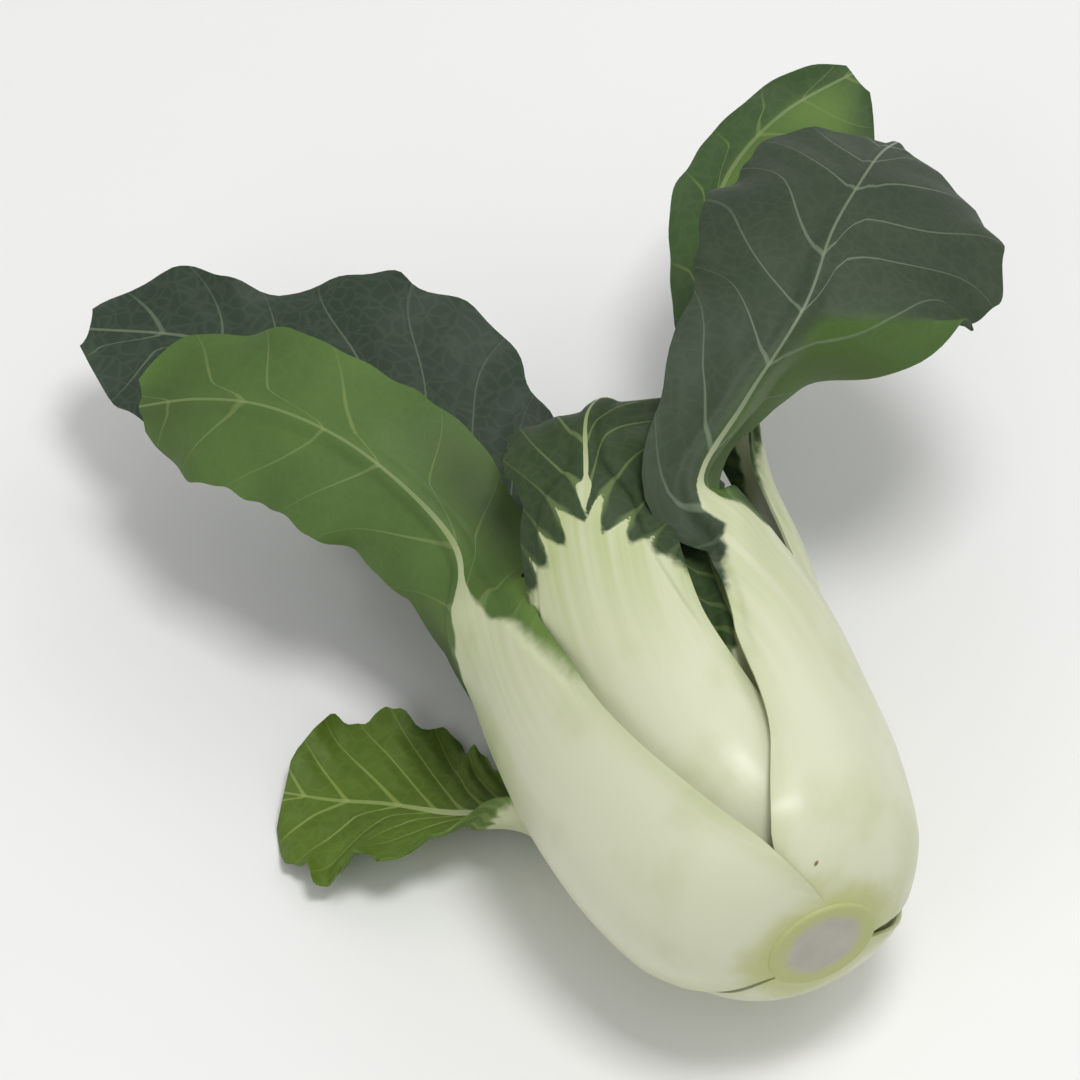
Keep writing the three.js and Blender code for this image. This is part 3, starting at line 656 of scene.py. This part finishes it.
# For each leaf: stalk is the share of its spine that is stalk. wide and thick are the stalk's largest half
# width and thickness, low and neck its half width near the base and at its top, as shares of wide, and round
# the radius of its back. wings are how far the blade stands out beside the stalk's top. spine is the outer
# middle line, from the middle of the cut end, and facing the directions that its inner face looks in beyond
# the stalk. left, right and cup are the blade's half widths and its curvature across, by the share of the
# blade, and wave the height, number and start of its waves.
OUTER_LEAVES = {
    "leaf_1": dict(
        stalk=0.51, wide=24, thick=6.5, round=31, low=0.95, neck=0.34, wings=(6, 5), pucker=0.3, fingers=0.35,
        torn=0.9, rib=0.55, peak=0.5, rim=0.5,
        spine=[around(147, 10.3, 0.3), around(154, 19.8, 3.5), around(159, 27.9, 11), around(163, 35, 27),
               around(165, 37.8, 48), around(165, 36.5, 70), around(161, 33, 90), (-27, 105, 12),
               (-37, 126, 21), (-48, 143, 21), (-58, 156, 15), (-69, 168, 5)],
        facing=[(0.62, (0.5, 0.05, -0.85)), (0.8, (0.4, 0.1, -0.9)), (1, (0.45, 0.3, -0.8))],
        left=[(0, 12), (0.18, 15), (0.5, 18), (0.8, 16), (0.94, 11), (1, 4)],
        right=[(0, 13), (0.18, 17), (0.45, 19), (0.8, 16), (0.94, 10), (1, 4)],
        cup=[(0, 0.034), (0.3, 0.034), (0.7, 0.026), (1, 0.015)], wave=(1.3, 3, 0.4), veins=(18, 17),
        # tones: painted shade on the left side, the lower blade and the tip; above 0 painted light through
        # the leaf, partly its greener margin
        tones=[(0, -0.95, 0.06, 0.3, 0.7), (0, 0.95, 0.15, 0.3, -0.6), (0.2, -0.6, 0.18, 0.5, -0.5),
               (0.5, 0, 0.2, 0.4, 0.15), (1, 0, 0.25, 1, -0.3)],
        material=leaf_material("left_leaf", outer=colour(80, 108, 48), inner=colour(56, 80, 42),
                               vein=colour(118, 138, 78), seed=0.11, ragged=0.12, net=0.05)),
    "leaf_2": dict(
        stalk=0.435, wide=21.5, thick=6.5, round=26, low=1.12, neck=0.22, wings=(3, 2), pucker=0.7,
        fingers=0.5, rib=0.5,
        spine=[around(50, 10.3, 0.3), around(49, 18, 3.5), around(47, 25, 11), around(45, 30, 25),
               around(46, 32.6, 41), around(52, 34.8, 56), around(63, 36.6, 71), (12, 82, 35.5),
               (26, 91.5, 43.5), (44, 103, 50), (55, 115, 53), (67, 127, 50), (77, 138, 43), (86, 147, 34)],
        facing=[(0.48, (-0.3, 0.8, -0.5)), (0.59, (-0.15, 0.7, -0.7)), (0.7, (-0.05, 0.1, -1)),
                (1, (-0.3, -0.2, -0.9))],
        left=[(0, 9), (0.15, 10), (0.28, 16), (0.38, 24), (0.48, 31), (0.58, 35), (0.68, 35), (0.85, 27),
              (0.95, 14), (1, 5)],
        right=[(0, 9), (0.12, 13), (0.32, 20), (0.6, 27), (0.85, 22), (0.95, 12), (1, 5)],
        cup=[(0, 0.06), (0.2, 0.04), (0.4, 0.022), (1, 0.018)], wave=(1.3, 3, 0.1), veins=(16, 15),
        # the strip folded down below the crease is painted bright green, as lit through from behind, by the
        # fold and the first tone; the last tone is painted shade
        crease=dict(at=0.67, side=-1, lean=0.33, angle=math.radians(34), round=4, fade=6),
        tones=[(0.17, -0.5, 0.2, 0.42, 2.0), (0.8, 0, 0.3, 1, -0.15)],
        material=leaf_material("right_leaf", outer=colour(50, 65, 45), inner=colour(48, 72, 38),
                               vein=colour(114, 130, 104), seed=0.37, net=0.05, bright=colour(78, 108, 42))),
    "leaf_3": dict(
        stalk=0.5, wide=25, thick=6.5, round=30, low=1.02, neck=0.38, wings=(3, 3),
        spine=[around(276, 10.3, 0.3), around(274, 18.8, 3.5), around(272, 26, 11), around(269, 32.8, 25),
               around(267, 37.8, 42), around(268, 37.6, 60), around(268, 35.4, 82), (-2, 104, -34.2),
               (-2, 128, -33.8), (-3, 150, -34.6), (-5, 170, -35), (-8, 187, -33.6)],
        facing=[(0.62, (0, 0, 1)), (1, (0, 0.1, 1))],
        left=[(0, 12), (0.2, 18), (0.5, 24), (0.8, 21), (0.94, 12), (1, 4)],
        right=[(0, 12), (0.2, 18), (0.5, 24), (0.8, 20), (0.94, 12), (1, 4)],
        cup=[(0, 0.03), (0.4, 0.02), (1, 0.012)], wave=(1.5, 3, 0.7),
        material=leaf_material("under_leaf", outer=colour(80, 104, 60), inner=colour(56, 82, 44),
                               vein=colour(138, 156, 102), seed=0.53)),
}
for name, leaf in OUTER_LEAVES.items():
    leaf_piece(name, leaf)

# The middle leaves: the next turn of the spiral, which grow a little further up the stem. The one that shows
# most has a broad white stalk whose top breaks into green teeth, and its dark blade folds back over the
# heart.
MIDDLE_LEAVES = {
    "leaf_4": dict(
        stalk=0.66, wide=20, thick=5.5, round=23, low=0.95, neck=0.45, wings=(7, 4), pucker=0.6,
        veins=(13, 12), lean=1.5, fingers=1.9, torn=0.82, top=0.03, rib=0.4, peak=0.3,
        spine=[around(112, 11, 5.5), around(116, 19.5, 13), around(119, 27, 26), around(120, 31, 44),
               around(117, 34, 62), around(109, 36, 79), (-6, 92, 37), (-1, 103, 37.5), (5, 110, 33),
               (9, 114, 26), (12, 117, 17)],
        facing=[(0.75, (0.1, 0.05, -1)), (0.88, (0, -0.7, -0.8)), (1, (-0.1, -1, -0.3))],
        left=[(0, 16), (0.2, 17), (0.5, 18), (0.8, 16), (0.94, 11), (1, 5)],
        right=[(0, 13), (0.2, 16), (0.5, 18), (0.8, 16), (0.94, 11), (1, 5)],
        cup=[(0, 0.035), (0.4, 0.03), (1, 0.02)], wave=(1, 3, 0.2),
        material=leaf_material("middle_leaf", outer=colour(44, 64, 33), inner=colour(42, 62, 32),
                               vein=colour(110, 130, 74), seed=0.71, fresh=0.7, net=0.06)),
    "leaf_5": dict(
        stalk=0.54, wide=21, thick=5.5, round=24, low=0.95, neck=0.36, wings=(2, 2),
        spine=[around(-24, 10.6, 2), around(-23, 19.4, 6), around(-22, 26, 15), around(-19, 30, 37),
               around(-12, 32.4, 62), around(-2, 36, 82), (37, 102, 5), (38, 123, 10), (45, 147, 13),
               (59, 168, 13), (78, 182, 11), (99, 189, 9)],
        facing=[(0.6, (-0.8, 0.1, 0.6)), (0.75, (-0.45, -0.1, 0.9)), (1, (-0.3, -0.5, 0.8))],
        left=[(0, 8), (0.15, 7), (0.5, 9), (0.72, 8), (0.9, 5), (1, 2)],
        right=[(0, 8), (0.15, 14), (0.5, 34), (0.75, 31), (0.92, 15), (1, 3)],
        cup=[(0, 0.04), (0.4, 0.02), (1, 0.012)], wave=(1.5, 3, 0.3), veins=(8, 15),
        # tones: bright streaks of painted light through the leaf, partly its fresher green
        tones=[(0.35, 0.05, 0.4, 0.16, 0.7), (0.85, 0.3, 0.12, 0.4, 0.6)],
        material=leaf_material("rear_leaf", outer=colour(70, 96, 48), inner=colour(56, 82, 41),
                               vein=colour(110, 132, 72), seed=0.83, net=0.08)),
    "leaf_6": dict(
        stalk=0.61, wide=20, thick=5.5, round=24, low=0.95, neck=0.36, wings=(3, 3), pucker=0.8, frill=0.06,
        spine=[around(204, 11, 5.5), around(206, 19.5, 13), around(210, 27.5, 25), around(214, 32.5, 39),
               around(216, 36.5, 53), around(216, 41.5, 66), (-43, 76, -29.5), (-51, 84, -32), (-60, 91, -34),
               (-69, 97, -33.5)],
        facing=[(0.68, (0.3, 0.1, 1)), (1, (-0.1, 0, 1))],
        left=[(0, 11), (0.2, 16), (0.5, 22), (0.8, 19), (0.94, 12), (1, 4)],
        right=[(0, 11), (0.2, 16), (0.5, 22), (0.8, 19), (0.94, 12), (1, 4)],
        cup=[(0, 0.03), (0.4, 0.012), (1, 0.006)], wave=(2, 3, 0.5), veins=(7, 9),
        material=leaf_material("low_leaf", outer=colour(84, 112, 44), inner=colour(84, 110, 28),
                               vein=colour(144, 164, 84), seed=0.19, net=0.08)),
}
for name, leaf in MIDDLE_LEAVES.items():
    leaf_piece(name, leaf)

# The inner leaves: they show in the gaps between the others, one of them with a large dark blade that opens
# out behind the left leaf.
INNER_LEAVES = {
    "leaf_7": dict(
        stalk=0.3, wide=15, thick=4, round=18, low=0.95, neck=0.4, wings=(3, 3), pucker=0.8,
        spine=[around(62, 9, 9), around(66, 14.5, 17), around(70, 21, 30), around(72, 26, 46),
               around(72, 28, 62), around(66, 28, 80), (17, 97, 15), (23, 112, 5), (29, 126, -7),
               (33, 138, -18)],
        facing=[(0.5, (-0.35, 0, -0.9)), (0.65, (-0.6, 0.1, -0.8)), (1, (-0.5, -0.4, -0.8))],
        left=[(0, 13), (0.3, 16), (0.6, 14), (0.85, 10), (1, 3)],
        right=[(0, 13), (0.3, 15), (0.6, 12), (0.85, 9), (1, 3)],
        cup=[(0, 0.055), (0.5, 0.05), (1, 0.03)], wave=(0.7, 3, 0.2), veins=(8, 11),
        material=leaf_material("gap_leaf", outer=colour(46, 70, 30), inner=colour(40, 62, 26),
                               vein=colour(96, 118, 62), seed=0.41)),
    "leaf_8": dict(
        stalk=0.55, wide=13, thick=4.5, round=15, low=0.95, neck=0.36, wings=(2, 2),
        spine=[around(288, 9, 9), around(288, 14, 17), around(288, 19.5, 30), around(287, 23, 46),
               around(286, 24, 62), around(285, 23, 80), (6, 98, -19), (6, 115, -19), (5, 132, -21),
               (3, 147, -25)],
        facing=[(0.65, (0, 0.1, 1)), (1, (0, -0.2, 1))],
        left=[(0, 8), (0.3, 13), (0.6, 15), (0.85, 11), (1, 3)],
        right=[(0, 8), (0.3, 13), (0.6, 15), (0.85, 11), (1, 3)],
        cup=[(0, 0.06), (0.5, 0.035), (1, 0.02)], wave=(0.7, 3, 0.6),
        material=leaf_material("lower_inner_leaf", outer=colour(78, 102, 50), inner=colour(58, 84, 40),
                               vein=colour(140, 158, 98), seed=0.67)),
    "leaf_9": dict(
        stalk=0.42, wide=13, thick=4.5, round=15, low=0.95, neck=0.36, wings=(2, 2), pucker=0.9, frill=0.05,
        spine=[around(170, 9, 9), around(168, 14, 17), around(166, 19.5, 30), around(164, 23, 46),
               around(160, 24, 62), around(152, 23, 80), (-16, 99, 5), (-17, 120, 3), (-23, 143, 4.5),
               (-35, 165, 4), (-50, 186, -2), (-67, 202, -8)],
        facing=[(0.5, (0.6, 0, 0.8)), (0.7, (0.2, -0.3, 1)), (1, (0.1, -0.5, 0.9))],
        left=[(0, 9), (0.2, 13), (0.5, 20), (0.8, 20), (0.94, 12), (1, 4)],
        right=[(0, 9), (0.15, 20), (0.35, 29), (0.54, 29), (0.73, 14), (0.86, 14), (0.95, 9), (1, 4)],
        cup=[(0, 0.06), (0.3, 0.02), (0.6, 0.008), (1, 0.006)], wave=(2.2, 4, 0.1), veins=(8, 16),
        material=leaf_material("dark_leaf", outer=colour(66, 86, 52), inner=colour(46, 62, 46),
                               vein=colour(106, 122, 98), seed=0.91, net=0.1)),
}
for name, leaf in INNER_LEAVES.items():
    leaf_piece(name, leaf)

# The heart: two small pale leaves at the middle of the head, still furled. They are the youngest, so their
# stalks are the thinnest.
HEART_GREEN = leaf_material("heart_leaf", outer=colour(104, 130, 60), inner=colour(92, 120, 52),
                            vein=colour(160, 176, 110), seed=0.29)
HEART_LEAVES = {
    "leaf_10": dict(
        stalk=0.55, wide=7, thick=2.8, round=8, low=0.95, neck=0.4, wings=(1, 1), pucker=0.3,
        spine=[around(190, 6, 13), around(190, 9, 24), around(190, 10.5, 40), around(185, 9.5, 58),
               (-6, 74, 1), (-3, 88, 2), (0, 100, 1)],
        facing=[(0.65, (1, 0, 0.1)), (1, (0.9, -0.4, 0.3))],
        left=[(0, 4), (0.3, 7), (0.6, 8), (0.85, 6), (1, 2)],
        right=[(0, 4), (0.3, 7), (0.6, 8), (0.85, 6), (1, 2)],
        cup=[(0, 0.12), (0.5, 0.09), (1, 0.06)], wave=(0.4, 3, 0.2), material=HEART_GREEN),
    "leaf_11": dict(
        stalk=0.55, wide=6, thick=2.5, round=7, low=0.95, neck=0.4, wings=(1, 1), pucker=0.3,
        spine=[around(10, 5.5, 14), around(10, 8, 24), around(10, 9, 38), around(12, 8.5, 54),
               (6, 70, 2), (6, 84, 2), (5, 96, -1)],
        facing=[(0.65, (-1, 0, -0.1)), (1, (-0.9, -0.3, 0.2))],
        left=[(0, 3.5), (0.3, 6), (0.6, 7), (0.85, 5), (1, 2)],
        right=[(0, 3.5), (0.3, 6), (0.6, 7), (0.85, 5), (1, 2)],
        cup=[(0, 0.13), (0.5, 0.1), (1, 0.07)], wave=(0.4, 3, 0.5), material=HEART_GREEN),
}
for name, leaf in HEART_LEAVES.items():
    leaf_piece(name, leaf)

# The stem base: the short solid stem that every leaf grows from, cut flat with a knife. The cut face shows
# the pale ring of the stem's rind round a greyer, slightly sunken pith.
STEM_RADIUS = 11.2
STEM_DEPTH = 16
STEM_SIDES = 96
CUT_SMOOTH_ANGLE = math.radians(50)
RIND_STEPS = [(0.9, 0.2), (0.9, 0.05)]           # how wide each ring of the cut is, and its rise
PITH_STEPS = [(1.2, rise) for rise in (-0.08, -0.12, 0.03, 0.05, 0, 0)]
PITH_START, PITH_END = 7.0, 10.0                 # radii between which the pith gives way to the rind
PITH_UNEVEN = 2.4
PITH_DARK = colour(164, 161, 148)
PITH_PALE = colour(190, 188, 176)
RIND_GREEN = colour(180, 186, 124)
deselect()
bpy.ops.mesh.primitive_cylinder_add(vertices=STEM_SIDES, radius=STEM_RADIUS * MM, depth=STEM_DEPTH * MM,
                                    location=(0, (STEM_DEPTH / 2 - REST_Y) * MM, AXIS_HEIGHT * MM),
                                    rotation=(math.radians(90), 0, 0))
stem = bpy.context.object
stem.name = "stem_cut"
bpy.ops.object.transform_apply(location=True, rotation=True, scale=True)
bpy.ops.object.mode_set(mode="EDIT")
bpy.ops.mesh.select_all(action="DESELECT")
bpy.ops.object.mode_set(mode="OBJECT")
for face in stem.data.polygons:
    face.select = face.normal.y < -0.9
bpy.ops.object.mode_set(mode="EDIT")
for width, rise in RIND_STEPS + PITH_STEPS:
    bpy.ops.mesh.inset(thickness=width * MM, depth=rise * MM)
bpy.ops.object.mode_set(mode="OBJECT")
bpy.ops.object.modifier_add(type="SUBSURF")
stem.modifiers[0].levels = stem.modifiers[0].render_levels = 1
bpy.ops.object.modifier_apply(modifier=stem.modifiers[0].name)
bpy.ops.object.shade_smooth_by_angle(angle=CUT_SMOOTH_ANGLE)

cut_stem = new_material("cut_stem")
place = add_node(cut_stem, "ShaderNodeTexCoord").outputs["Object"]
centred = add_node(cut_stem, "ShaderNodeMapping", {"Vector": place, "Location": (0, 0, -AXIS_HEIGHT * MM)})
across_cut = vector_node(cut_stem, "MULTIPLY", centred.outputs[0], (1, 0, 1))
radius = add_node(cut_stem, "ShaderNodeVectorMath", {0: across_cut}, operation="LENGTH").outputs["Value"]
patchy = noise(cut_stem, place, 190.0, 6.0).outputs["Fac"]
uneven = number_node(cut_stem, "ADD", number_node(cut_stem, "MULTIPLY", patchy, PITH_UNEVEN * MM), radius)
rind = ramp(cut_stem, uneven, PITH_START * MM, PITH_END * MM, 0.0, 1.0)
pith = mix(cut_stem, patchy, PITH_DARK, PITH_PALE)
scar = add_node(cut_stem, "ShaderNodeBump", {"Height": patchy, "Strength": 0.5, "Distance": 0.0005})
finish_material(cut_stem, Base_Color=mix(cut_stem, rind, pith, RIND_GREEN), Roughness=0.55,
                Normal=scar.outputs[0])
stem.data.materials.append(cut_stem)
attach(stem, "root")
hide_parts("stem_base")
